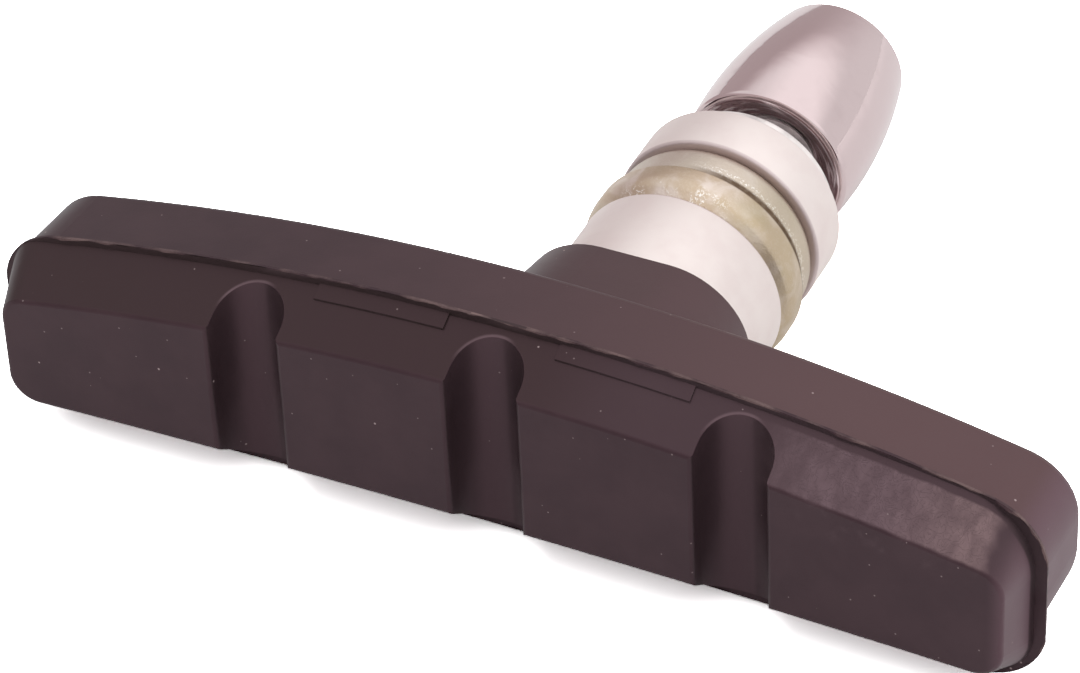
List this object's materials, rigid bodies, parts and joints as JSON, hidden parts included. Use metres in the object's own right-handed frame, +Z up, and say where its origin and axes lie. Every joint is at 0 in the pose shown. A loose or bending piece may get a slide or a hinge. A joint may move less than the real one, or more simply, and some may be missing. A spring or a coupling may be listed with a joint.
{
  "type": "bicycle rim brake pad",
  "caption": "Curved, grooved rubber rim brake pad on a threaded stud, with convex and concave washers, a flat washer and a long cap nut.",
  "frame": {"origin": "where the stud's axis meets the rubbing face", "axes": "+X along the pad, +Y along the stud from the rubbing face to the nut, +Z up on the pad's convex side"},
  "size_m": [0.0718, 0.0488, 0.0175],
  "materials": {
    "rubber": "moulded, satin, with fine dust",
    "silver_washer": "matte, tumbled",
    "yellow_washer": "yellow zinc plate",
    "flat_washer": "bright zinc plate",
    "stud_steel": "bright zinc plate",
    "insert_steel": "plain",
    "nut_chrome": "polished"
  },
  "bodies": {
    "root": {"rubber_pad": "rubber", "backing_plate": "insert_steel", "threaded_stud": "stud_steel", "thick_concave_spacer": "silver_washer", "inner_convex_washer": "yellow_washer", "outer_convex_washer": "yellow_washer", "thin_concave_washer": "silver_washer", "flat_washer": "flat_washer", "cap_nut": "nut_chrome"}
  },
  "joints": []
}
